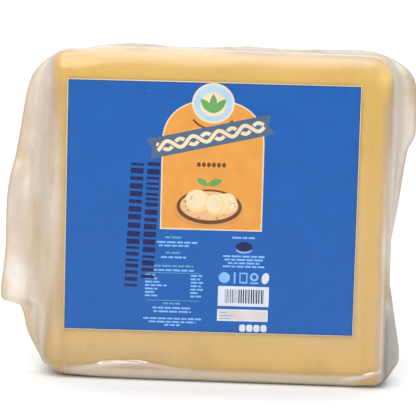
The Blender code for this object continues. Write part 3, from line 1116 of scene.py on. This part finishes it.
film_material = plain_material("clear vacuum film", FILM_NEUTRAL[:3], MILKY_ROUGHNESS)
tree = film_material.node_tree
milky = tree.nodes["Principled BSDF"]
milky.inputs["Specular IOR Level"].default_value = 0.2
film_colour = ramp(
    tree,
    carried(tree, "tone"),
    (0.0, FILM_WHITE),
    (0.14, FILM_IVORY),
    (0.28, FILM_CREAM),
    (0.45, FILM_TAN),
    (0.62, FILM_DEEP_TAN),
    (0.78, FILM_NEUTRAL),
    (1.0, FILM_PAINTED_SHADE),
)
tree.links.new(film_colour, milky.inputs["Base Color"])
print(f"{film_colour.node.name} of {len(film_colour.node.color_ramp.elements)} tones")

# %% [markdown]
# The gloss is as smooth as glass where the film is tight, and rougher by the satin number. A
# fine bump, longer up and down than across, breaks its reflections up. Folding the mesh that
# finely would take millions of faces, while a bump only tilts the light. The milky shader
# reads the same bump, so that both seem to lie on one surface.

# %% Gloss
GLOSS_ROUGHNESS = 0.13
SATIN_ROUGHNESS = 0.24
CRINKLE_SCALE = 190.0
CRINKLE_STRETCH = (1.0, 1.0, 0.3)
CRINKLE_RELIEF = 0.4 * MM
CRINKLE_STRENGTH = 0.35

gloss = node(tree, "ShaderNodeBsdfAnisotropic")
roughness = calculate(tree, "MULTIPLY", carried(tree, "satin"), SATIN_ROUGHNESS)
roughness = calculate(tree, "ADD", roughness, GLOSS_ROUGHNESS)
tree.links.new(roughness, gloss.inputs["Roughness"])
crinkle_noise = noise_at(tree, CRINKLE_SCALE, 2.0, CRINKLE_STRETCH)
crinkle = bump(tree, crinkle_noise, CRINKLE_RELIEF, CRINKLE_STRENGTH)
tree.links.new(crinkle, gloss.inputs["Normal"])
tree.links.new(crinkle, milky.inputs["Normal"])
print(f"gloss roughness {GLOSS_ROUGHNESS} to {GLOSS_ROUGHNESS + SATIN_ROUGHNESS}")

# %% [markdown]
# Now the three are mixed. The milk number, made a little cloudy by a broad noise, says how much
# of the milky shader covers the clear one. The gloss lies over both: faint where the film is
# seen straight on and strong at a glancing angle, as on any plastic, times the shine number.

# %% Film finish
FILM_TINT = (0.985, 0.98, 0.965, 1.0)
MIRROR_FACING = 0.07
MIRROR_GLANCING = 0.45
GLANCING_POWER = 4.0
CLOUD_SCALE = 300.0
CLOUD_SHARE = 0.2


def mixed(tree, share, first, second):
    """Two shaders blended: only the first at a share of 0, only the second at 1."""
    made = node(tree, "ShaderNodeMixShader")
    tree.links.new(share, made.inputs["Fac"])
    tree.links.new(first, made.inputs[1])
    tree.links.new(second, made.inputs[2])
    return made.outputs["Shader"]


clear = node(tree, "ShaderNodeBsdfTransparent")
clear.inputs["Color"].default_value = FILM_TINT
clouds = calculate(tree, "MULTIPLY", noise_at(tree, CLOUD_SCALE, 3.0), CLOUD_SHARE)
cloudiness = calculate(tree, "ADD", clouds, 1.0 - CLOUD_SHARE / 2)
milkiness = calculate(tree, "MULTIPLY", carried(tree, "milk"), cloudiness)
glancing = node(tree, "ShaderNodeLayerWeight")
glancing.inputs["Blend"].default_value = 0.5
mirror_share = calculate(tree, "POWER", glancing.outputs["Facing"], GLANCING_POWER)
mirror_share = calculate(tree, "MULTIPLY", mirror_share, MIRROR_GLANCING)
mirror_share = calculate(tree, "ADD", mirror_share, MIRROR_FACING)
mirror_share = calculate(tree, "MULTIPLY", mirror_share, carried(tree, "shine"))
body = mixed(tree, milkiness, clear.outputs["BSDF"], milky.outputs["BSDF"])
whole = mixed(tree, mirror_share, body, gloss.outputs["BSDF"])
tree.links.new(whole, tree.nodes["Material Output"].inputs["Surface"])
clear_film.data.materials.append(film_material)
print(f"film finish of {len(tree.nodes)} shader nodes")

# %% [markdown]
# ## The label
#
# The label is a printed sheet stuck on the film, a little askew. Its picture could be an image,
# but a shape drawn as geometry stays sharp at any distance. Sheets laid over each other for each
# colour would flicker or float, so the print is one sheet cut up like a stained-glass window.
# Every printed shape is an outline in millimetres from the label's middle, laid down in order.
# A triangulation then splits the sheet along all outlines, and each small face takes the ink of
# the last shape laid over it.

# %% Plain field of the label
LABEL_WIDTH = 102.3
LABEL_HEIGHT = 88.2
PALE_EDGE = 0.35
DARK_EDGE = 0.3

prints = []


def turned_left(shape):
    """The outline run anticlockwise, as the triangulation needs it."""
    points = np.array(shape)
    following = np.roll(points, -1, axis=0)
    area = np.sum(points[:, 0] * following[:, 1] - following[:, 0] * points[:, 1]) / 2
    return shape if area > 0.0 else shape[::-1]


def lay(ink, *shapes):
    """Prints these outlines in this ink, over all that was laid before."""
    prints.extend((ink, turned_left(shape)) for shape in shapes)


def rectangle(left, low, right, high):
    """A box between these sides."""
    return [(left, low), (right, low), (right, high), (left, high)]


half_width, half_height = LABEL_WIDTH / 2, LABEL_HEIGHT / 2
# Inside the pale paper edge a thin darker blue line is painted shade along the label's edge.
for ink, inset in (("paper", 0.0), ("edge shade blue", PALE_EDGE), ("blue", PALE_EDGE + DARK_EDGE)):
    across, up = half_width - inset, half_height - inset
    lay(ink, rectangle(-across, -up, across, up))
print(f"label {LABEL_WIDTH} x {LABEL_HEIGHT} mm, with a pale edge of {PALE_EDGE} mm")

# %% [markdown]
# Apart from boxes, three kinds of shape do for all that is printed: an oval, which can be made
# boxier or turned, a stroke of even width along a line, and a pointed leaf. Each is a formula,
# so that a curve has as many corners as its size asks for.

# %% Shapes to print
def oval(u, v, half_width, half_height, corners=28, turn=0.0, power=2.0):
    """An ellipse, or with a higher power a rounder-cornered box, turned anticlockwise."""
    points = []
    for angle in np.linspace(0.0, 2.0 * math.pi, corners, endpoint=False):
        cosine, sine = math.cos(angle), math.sin(angle)
        right = half_width * math.copysign(abs(cosine) ** (2.0 / power), cosine)
        up = half_height * math.copysign(abs(sine) ** (2.0 / power), sine)
        points.append(
            (
                u + right * math.cos(turn) - up * math.sin(turn),
                v + right * math.sin(turn) + up * math.cos(turn),
            )
        )
    return points


def stroke(points, width):
    """The outline of a line of this width drawn through the points."""
    points = np.array(points, float)
    along = np.gradient(points, axis=0)
    along /= np.linalg.norm(along, axis=1)[:, None]
    side = np.column_stack([-along[:, 1], along[:, 0]]) * width / 2
    return [tuple(p) for p in np.vstack([points + side, (points - side)[::-1]])]


def leaf(u, v, length, width, turn):
    """A pointed leaf that grows from (u, v)."""
    share = np.linspace(0.0, 1.0, 12)
    half = width / 2 * np.sin(np.pi * share) ** 0.8
    right = np.concatenate([share * length, (share * length)[-2:0:-1]])
    up = np.concatenate([half, -half[-2:0:-1]])
    cosine, sine = math.cos(turn), math.sin(turn)
    return [(u + r * cosine - w * sine, v + r * sine + w * cosine) for r, w in zip(right, up)]


print(f"an oval of {len(oval(0.0, 0.0, 1.0, 1.0))} corners, a leaf of {len(leaf(0, 0, 5, 2, 0))}")

# %% [markdown]
# The middle of the label holds an orange panel with a domed top. A plain badge with three leaves
# sits on the dome, with a brown arc under it. A dome of straight pieces would show its corners,
# so it is the upper part of an oval, a little boxier than an ellipse.

# %% Orange panel and badge
PANEL_HALF = 17.4
PANEL_FOOT = -7.2
PANEL_SHOULDER = 22.5
PANEL_DOME = 15.0
PANEL_RIM = 0.45
BADGE_U, BADGE_V = -0.3, 36.7
BADGE_ARC = 9.0


def panel_outline(grow):
    """The orange panel, grown by this much all round."""
    dome = oval(0.0, PANEL_SHOULDER, PANEL_HALF + grow, PANEL_DOME + grow, 64, power=2.3)
    upper = [point for point in dome if point[1] >= PANEL_SHOULDER - 1e-6]
    foot = PANEL_FOOT - grow
    return [(PANEL_HALF + grow, foot)] + upper + [(-PANEL_HALF - grow, foot)]


lay("cream", panel_outline(PANEL_RIM))
lay("orange", panel_outline(0.0))

lay("cream", oval(BADGE_U, BADGE_V, 7.4, 7.0, 44))
lay("sky", oval(BADGE_U, BADGE_V, 6.7, 6.3, 44))
lay("cream", oval(BADGE_U, BADGE_V - 0.4, 4.6, 4.2, 32))
for degrees in (48, 90, 132):
    lay("leaf green", leaf(BADGE_U, BADGE_V - 3.4, 6.6, 2.6, math.radians(degrees)))
under_badge = [
    (BADGE_U + BADGE_ARC * math.sin(angle), BADGE_V - BADGE_ARC * math.cos(angle))
    for angle in np.radians(range(-50, 51, 10))
]
lay("brown", stroke(under_badge, 0.7))
print(f"{len(prints)} shapes with the panel and badge")

# %% [markdown]
# A dark band crosses the panel on a slant, with swallow-tailed ends and two plaited cream
# strands. The strands are two sine waves, half a turn apart. Places on the band are given along
# it and across it, so that the slant is set once. A row of brown dots lies below it.

# %% Slanted band
BAND_START = np.array((-22.6, 20.2))
BAND_END = np.array((20.6, 30.0))
BAND_HALF = 3.5
BAND_NOTCH = 1.6
STRAND_SWING = 1.45
STRAND_STEP = 4.6
STRAND_MARGIN = 3.2
band_length = np.linalg.norm(BAND_END - BAND_START)
band_run = (BAND_END - BAND_START) / band_length
band_side = np.array((-band_run[1], band_run[0]))


def on_band(along, across):
    """A point on the band, in millimetres along it and across it."""
    return tuple(BAND_START + band_run * along + band_side * across)


band = [on_band(along, -BAND_HALF) for along in np.linspace(0.0, band_length, 12)]
band += [on_band(band_length - BAND_NOTCH, 0.0)]
band += [on_band(along, BAND_HALF) for along in np.linspace(band_length, 0.0, 12)]
band += [on_band(BAND_NOTCH, 0.0)]
lay("slate", band)
for phase in (0.0, math.pi):
    strand = [
        on_band(along, STRAND_SWING * math.sin(math.pi * along / STRAND_STEP + phase))
        for along in np.linspace(STRAND_MARGIN, band_length - STRAND_MARGIN, 90)
    ]
    lay("slate", stroke(strand, 2.1))
    lay("cream", stroke(strand, 1.3))
lay("brown", *(oval(u, 15.3, 0.7, 0.85, 12) for u in np.linspace(-4.8, 4.0, 6)))
print(f"{len(prints)} shapes with the band, which is {band_length:.1f} mm long")

# %% [markdown]
# Below the band stands a picture of what is in the pack: a round board with a ball of cheese,
# three cut slices and two leaves. Each piece of cheese is two ovals, a darker one and a paler
# one set a little up from it, which is enough to make it look round at this size. The board's
# grain is a ring of small specks from a seeded draw.

# %% Board with cheese
BOARD_U, BOARD_V = -0.8, 0.6
BOARD_HALF_WIDTH, BOARD_HALF_HEIGHT = 10.2, 5.1
SPECKS = 16

lay("amber", oval(BOARD_U, BOARD_V - 1.1, 12.4, 6.1, 44))
lay("brown", oval(BOARD_U, BOARD_V, 11.4, 6.1, 48))
lay("tan", oval(BOARD_U, BOARD_V + 0.35, BOARD_HALF_WIDTH, BOARD_HALF_HEIGHT, 44))
lay("butter", oval(BOARD_U - 4.2, BOARD_V + 2.0, 4.3, 4.0, 36))
lay("cream", oval(BOARD_U - 4.5, BOARD_V + 2.5, 3.6, 3.2, 32))
for step in (2, 1, 0):
    u, v = BOARD_U + 2.0 + 2.2 * step, BOARD_V + 0.9 + 0.25 * step
    lay("butter", oval(u, v, 3.3, 3.6, 32))
    lay("cream", oval(u - 0.25, v + 0.3, 2.8, 3.1, 32))
lay("leaf green", leaf(-1.6, 8.2, 5.4, 2.4, math.radians(20)))
lay("leaf green", leaf(-1.4, 8.1, 4.6, 2.2, math.radians(150)))
specks = np.random.default_rng(5)
for _ in range(SPECKS):
    angle, reach = specks.uniform(0.0, 2.0 * math.pi), specks.uniform(0.72, 0.9)
    u = BOARD_U + BOARD_HALF_WIDTH * reach * math.cos(angle)
    v = BOARD_V + BOARD_HALF_HEIGHT * reach * math.sin(angle)
    lay("brown", oval(u, v, specks.uniform(0.15, 0.4), specks.uniform(0.12, 0.25), 8))
print(f"{len(prints)} shapes with the board")

# %% [markdown]
# The lower part of the label is printed small. Seen from a step away such print is rows of
# short pale dashes, so that is what is laid, and their lengths come from a seeded draw. Rows of
# equal dashes would be simpler, but they look like a hem. The left column has a small table
# in it, between two thin rules.

# %% Rows of dashes
DASH_HEIGHT = 0.62
DASH_GAP = 0.45
SHORTEST_DASH = 0.3
LEFT_COLUMN = -12.8
RIGHT_COLUMN = 11.8
TABLE_TOP = -23.9
TABLE_STEP = 1.22
TABLE_LEFT = -22.6
TABLE_MIDDLE = -6.6
# (height, width, ink) of each row of the left column, above and below the table
LEFT_ROWS = (
    (-10.5, 6.4, "sea"),
    (-12.2, 16.5, "pale blue"),
    (-13.4, 10.5, "pale blue"),
    (-15.9, 5.6, "sea"),
    (-17.5, 8.8, "pale blue"),
    (-20.6, 14.0, "sea"),
    (-22.1, 14.5, "pale blue"),
    (-33.9, 6.6, "sea"),
    (-35.5, 14.0, "pale blue"),
    (-36.8, 13.2, "pale blue"),
    (-39.3, 20.5, "pale blue"),
    (-40.5, 16.5, "pale blue"),
    (-41.6, 5.4, "pale blue"),
)
# widths of the two entries in each row of the table
TABLE_ROWS = ((3.4, 4.2), (4.2, 3.4), (5.0, 4.4), (7.6, 3.6), (4.4, 4.4), (3.8, 3.2), (4.6, 3.8))
# (height, width) of each row below the oval in the right column
RIGHT_ROWS = ((-16.6, 14.6), (-17.8, 13.4), (-19.0, 11.0), (-20.2, 14.6))

dash_lengths = np.random.default_rng(8)


def dashes(ink, u, v, width, centred=True):
    """A row of short dashes, centred on u or starting there."""
    left = u - width / 2 if centred else u
    right, at = left + width, left
    while at < right - SHORTEST_DASH:
        end = min(at + dash_lengths.uniform(1.2, 3.4), right)
        lay(ink, rectangle(at, v - DASH_HEIGHT / 2, end, v + DASH_HEIGHT / 2))
        at = end + DASH_GAP


for v, width, ink in LEFT_ROWS:
    dashes(ink, LEFT_COLUMN, v, width)
for row, (left_width, middle_width) in enumerate(TABLE_ROWS):
    v = TABLE_TOP - TABLE_STEP * row
    dashes("pale blue", TABLE_LEFT, v, left_width, centred=False)
    dashes("pale blue", TABLE_MIDDLE, v, middle_width, centred=False)
lay("sea", rectangle(-22.0, -32.95, -3.4, -32.75), rectangle(-22.0, -23.15, -3.4, -22.95))
dashes("pale blue", RIGHT_COLUMN, -10.0, 8.4)
lay("pale blue", oval(RIGHT_COLUMN, -14.2, 2.8, 1.3))
lay("navy", oval(RIGHT_COLUMN, -13.2, 3.0, 1.7))
for v, width in RIGHT_ROWS:
    dashes("pale blue", RIGHT_COLUMN, v, width)
print(f"{len(prints)} shapes with the rows of dashes")

# %% [markdown]
# Right of those rows stand a few plain marks in a line, a white field of upright black stripes,
# a pale box and four rounded white shapes. The stripes could be copies at an even spacing, but
# a real field of this kind has thick and thin ones, so their widths come from a seeded draw.

# %% Marks, stripes and boxes
MARKS_V = -24.2
STRIPES_LEFT, STRIPES_RIGHT = 5.6, 19.0
STRIPES_LOW, STRIPES_HIGH = -33.2, -28.3

lay("pale blue", oval(5.2, MARKS_V, 2.0, 1.9))
lay("pale blue", rectangle(8.5, MARKS_V - 2.0, 9.1, MARKS_V + 2.0))
lay("pale blue", rectangle(10.5, MARKS_V - 1.9, 13.3, MARKS_V + 1.9))
lay("blue", rectangle(10.9, MARKS_V - 1.4, 12.9, MARKS_V + 1.4))
lay("pale blue", oval(15.7, MARKS_V + 0.4, 1.5, 1.5))
lay("blue", oval(15.7, MARKS_V + 0.4, 0.8, 0.8, 16))
lay("pale blue", rectangle(14.2, MARKS_V - 2.0, 17.2, MARKS_V - 1.5))
lay("white", oval(19.6, MARKS_V, 1.3, 2.0, turn=-0.2))

lay("white", rectangle(3.1, -34.3, 21.0, -27.2))
stripe_widths = np.random.default_rng(14)
at = STRIPES_LEFT
while at < STRIPES_RIGHT:
    stripe = stripe_widths.choice((0.16, 0.3, 0.46))
    lay("black", rectangle(at, STRIPES_LOW, at + stripe, STRIPES_HIGH))
    at += stripe + stripe_widths.choice((0.18, 0.3, 0.42))
lay("white", rectangle(3.0, -39.6, 20.8, -35.4))
lay("petal", rectangle(3.5, -39.2, 20.3, -35.8))
for v, width in ((-36.7, 2.2), (-37.9, 4.6), (-38.9, 3.6)):
    lay("sea", rectangle(4.0, v, 4.0 + width, v + 0.3))
for u in (12.0, 14.5, 17.0, 19.5):
    lay("white", oval(u, -42.0, 1.1, 1.3, 20, power=3.0))
print(f"{len(prints)} shapes with the marks, stripes and boxes")

# %% [markdown]
# Last, two tall columns of dark navy blocks stand left of the panel, one higher than the other
# and both a little off upright. They lie over all the rest, so they are laid last.

# %% Dark columns
# (lower end, upper end, half-width) of each column
DARK_COLUMNS = (((-27.7, -28.2), (-26.1, 16.3), 2.25), ((-21.9, -25.2), (-20.4, 16.5), 2.2))

blocks = np.random.default_rng(21)
for lower, upper, half in DARK_COLUMNS:
    lower, upper = np.array(lower), np.array(upper)
    length = np.linalg.norm(upper - lower)
    run = (upper - lower) / length
    side = np.array((run[1], -run[0]))
    at = 0.0
    while at < length - 1.0:
        tall = blocks.choice((0.9, 1.3, 1.9))
        corners = ((at, -half), (at, half), (at + tall, half), (at + tall, -half))
        lay("navy", [tuple(lower + run * a + side * b) for a, b in corners])
        at += tall + blocks.choice((0.8, 1.1))
print(f"{len(prints)} shapes in all")

# %% [markdown]
# ## Cutting and bending the label
#
# The sheet has to follow the block's dome and lies on film that is not quite smooth: a few small
# bubbles are caught under it, and on the left, where the film was slack, it ripples faintly. A
# modifier could wrap it on the film, but then every wrinkle of the film would come through. So
# a formula gives the height of the label's face at any place, in the same dome as the block's.

# %% Place of the label on the pack
LABEL_CENTRE = (-2.6 * MM, 62.6 * MM)
LABEL_TURN = math.radians(0.55)
LABEL_LIFT = 0.32 * MM
# (u, v, radius, height) of the bubbles, in millimetres
BUBBLES = (
    (-22.4, 39.8, 0.95, 0.26),
    (-23.2, 38.9, 0.6, 0.14),
    (31.3, 37.0, 0.6, 0.14),
    (33.9, 36.1, 0.7, 0.16),
    (36.7, 34.8, 0.5, 0.12),
    (41.2, 21.8, 0.9, 0.16),
    (19.9, 2.7, 0.95, 0.24),
    (28.6, 29.5, 0.6, 0.10),
    (-38.5, 3.4, 0.8, 0.10),
)


def label_height(u, v):
    """How far the label's face stands off the dome of the block, in metres."""
    ripple = 0.05 * soft_noise(v / 3.2, u / 14.0, 41) * eased((-u - 8.0) / 30.0)
    ripple += 0.03 * soft_noise(u / 9.0, v / 8.0, 42)
    for centre_u, centre_v, radius, height in BUBBLES:
        distance = ((u - centre_u) ** 2 + (v - centre_v) ** 2) / radius**2
        ripple += height * np.exp(-distance)
    return LABEL_LIFT + ripple * MM


def on_pack(u, v, sunk=0.0):
    """The place on the pack of a point of the label."""
    cosine, sine = math.cos(LABEL_TURN), math.sin(LABEL_TURN)
    x = LABEL_CENTRE[0] + (u * cosine - v * sine) * MM
    z = LABEL_CENTRE[1] + (u * sine + v * cosine) * MM
    y = -(DEPTH / 2 + face_relief(x, z) + label_height(u, v) - sunk)
    return np.column_stack([x, y, z])


corner = on_pack(np.array([half_width]), np.array([half_height]))[0]
print("top right corner at", [round(float(length) / MM, 1) for length in corner], "mm")

# %% [markdown]
# The triangulation needs points between the outlines too, or the sheet could not bend. A grid of
# points a millimetre apart does that, with rings of finer ones round each bubble. Where several
# shapes lie over each other, the face takes the ink of the one laid last.

# %% Label sheet
GRID_STEP = 1.0
GRID_MARGIN = 0.3
BUBBLE_RINGS = (0.5, 1.0, 1.5, 2.0)
BUBBLE_CORNERS = 18
INSIDE_OUTLINES = 1
SAME_POINT = 1e-4

flat_points = []
for u in np.arange(GRID_STEP - half_width, half_width - GRID_MARGIN, GRID_STEP):
    for v in np.arange(GRID_STEP - half_height, half_height - GRID_MARGIN, GRID_STEP):
        flat_points.append(Vector((u, v)))
for centre_u, centre_v, radius, _ in BUBBLES:
    flat_points.append(Vector((centre_u, centre_v)))
    for ring in BUBBLE_RINGS:
        reach = ring * radius
        for point in oval(centre_u, centre_v, reach, reach, BUBBLE_CORNERS):
            flat_points.append(Vector(point))
outlines = []
for ink, shape in prints:
    outlines.append(list(range(len(flat_points), len(flat_points) + len(shape))))
    flat_points += [Vector(point) for point in shape]
cut_points, _, cut_faces, _, _, under = geometry.delaunay_2d_cdt(
    flat_points, [], outlines, INSIDE_OUTLINES, SAME_POINT
)
inks = list(dict.fromkeys(ink for ink, _ in prints))
face_inks = [inks.index(prints[max(laid)][0]) for laid in under]
print(f"{len(cut_faces)} faces in {len(inks)} inks")

# %% [markdown]
# A sheet with no thickness would show no edge, so the cut sheet gets a back and sides of paper.
# The Solidify modifier would do it, but its rim takes the colour of the print beside it. Copying
# the points behind and joining the borders by hand keeps the edge white. A border is a side of
# a face that no other face runs the other way.

# %% Label thickness
LABEL_THICKNESS = 0.14 * MM

u, v = np.array(cut_points).T
label_points = np.vstack([on_pack(u, v), on_pack(u, v, sunk=LABEL_THICKNESS)])
count = len(u)
borders = {}
for face in cut_faces:
    for first, second in zip(face, face[1:] + face[:1]):
        if (second, first) in borders:
            del borders[(second, first)]
        else:
            borders[(first, second)] = True
label_faces = [tuple(face) for face in cut_faces]
label_faces += [tuple(index + count for index in reversed(face)) for face in cut_faces]
label_faces += [(second, first, first + count, second + count) for first, second in borders]
slots = face_inks + [inks.index("paper")] * (len(label_faces) - len(face_inks))
printed_label = mesh_piece("printed_label", label_points, label_faces)
printed_label.data.polygons.foreach_set("material_index", slots)
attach(printed_label, "root")
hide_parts("label")
print(f"label of {len(label_faces)} faces, {len(borders)} round its edge")

# %% [markdown]
# ## Inks
#
# All inks are printed on the same coated paper and differ in colour only, so one function makes
# them, and the same finish serves the painted shade along the label's edge. Print is never one
# flat colour, so a fine noise varies its strength by a twentieth each way. The coat has a soft
# gloss, and a very fine bump keeps that gloss from looking like glass.

# %% Ink finishes
INK_COLOURS = {
    "paper": (0.60, 0.52, 0.42),
    "blue": (0.004, 0.093, 0.365),
    "edge shade blue": (0.010, 0.045, 0.15),
    "cream": (0.76, 0.62, 0.40),
    "orange": (0.70, 0.30, 0.052),
    "sky": (0.40, 0.57, 0.72),
    "leaf green": (0.12, 0.32, 0.09),
    "brown": (0.14, 0.045, 0.012),
    "slate": (0.07, 0.12, 0.20),
    "amber": (0.62, 0.27, 0.07),
    "tan": (0.72, 0.42, 0.20),
    "butter": (0.80, 0.55, 0.25),
    "sea": (0.11, 0.32, 0.42),
    "pale blue": (0.20, 0.42, 0.78),
    "navy": (0.004, 0.008, 0.075),
    "white": (0.62, 0.67, 0.76),
    "petal": (0.62, 0.56, 0.56),
    "black": (0.03, 0.025, 0.03),
}
INK_ROUGHNESS = 0.34
INK_VARIATION = 0.05
GRAIN_SCALE = 180.0
TOOTH_SCALE = 1500.0
TOOTH_RELIEF = 0.05 * MM
TOOTH_STRENGTH = 0.25


def ink_finish(name, colour):
    """Coated paper printed in this colour, a little uneven."""
    made = plain_material(f"ink {name}", colour, INK_ROUGHNESS)
    tree = made.node_tree
    shader = tree.nodes["Principled BSDF"]
    shader.inputs["Specular IOR Level"].default_value = 0.4
    dark, light = (
        tuple(min(1.0, part * strength) for part in colour) + (1.0,)
        for strength in (1.0 - INK_VARIATION, 1.0 + INK_VARIATION)
    )
    grain = ramp(tree, noise_at(tree, GRAIN_SCALE, 4.0), (0.32, dark), (0.68, light))
    tree.links.new(grain, shader.inputs["Base Color"])
    tooth = bump(tree, noise_at(tree, TOOTH_SCALE, 2.0), TOOTH_RELIEF, TOOTH_STRENGTH)
    tree.links.new(tooth, shader.inputs["Normal"])
    return made


for ink in inks:
    printed_label.data.materials.append(ink_finish(ink, INK_COLOURS[ink]))
print(f"{len(inks)} inks")
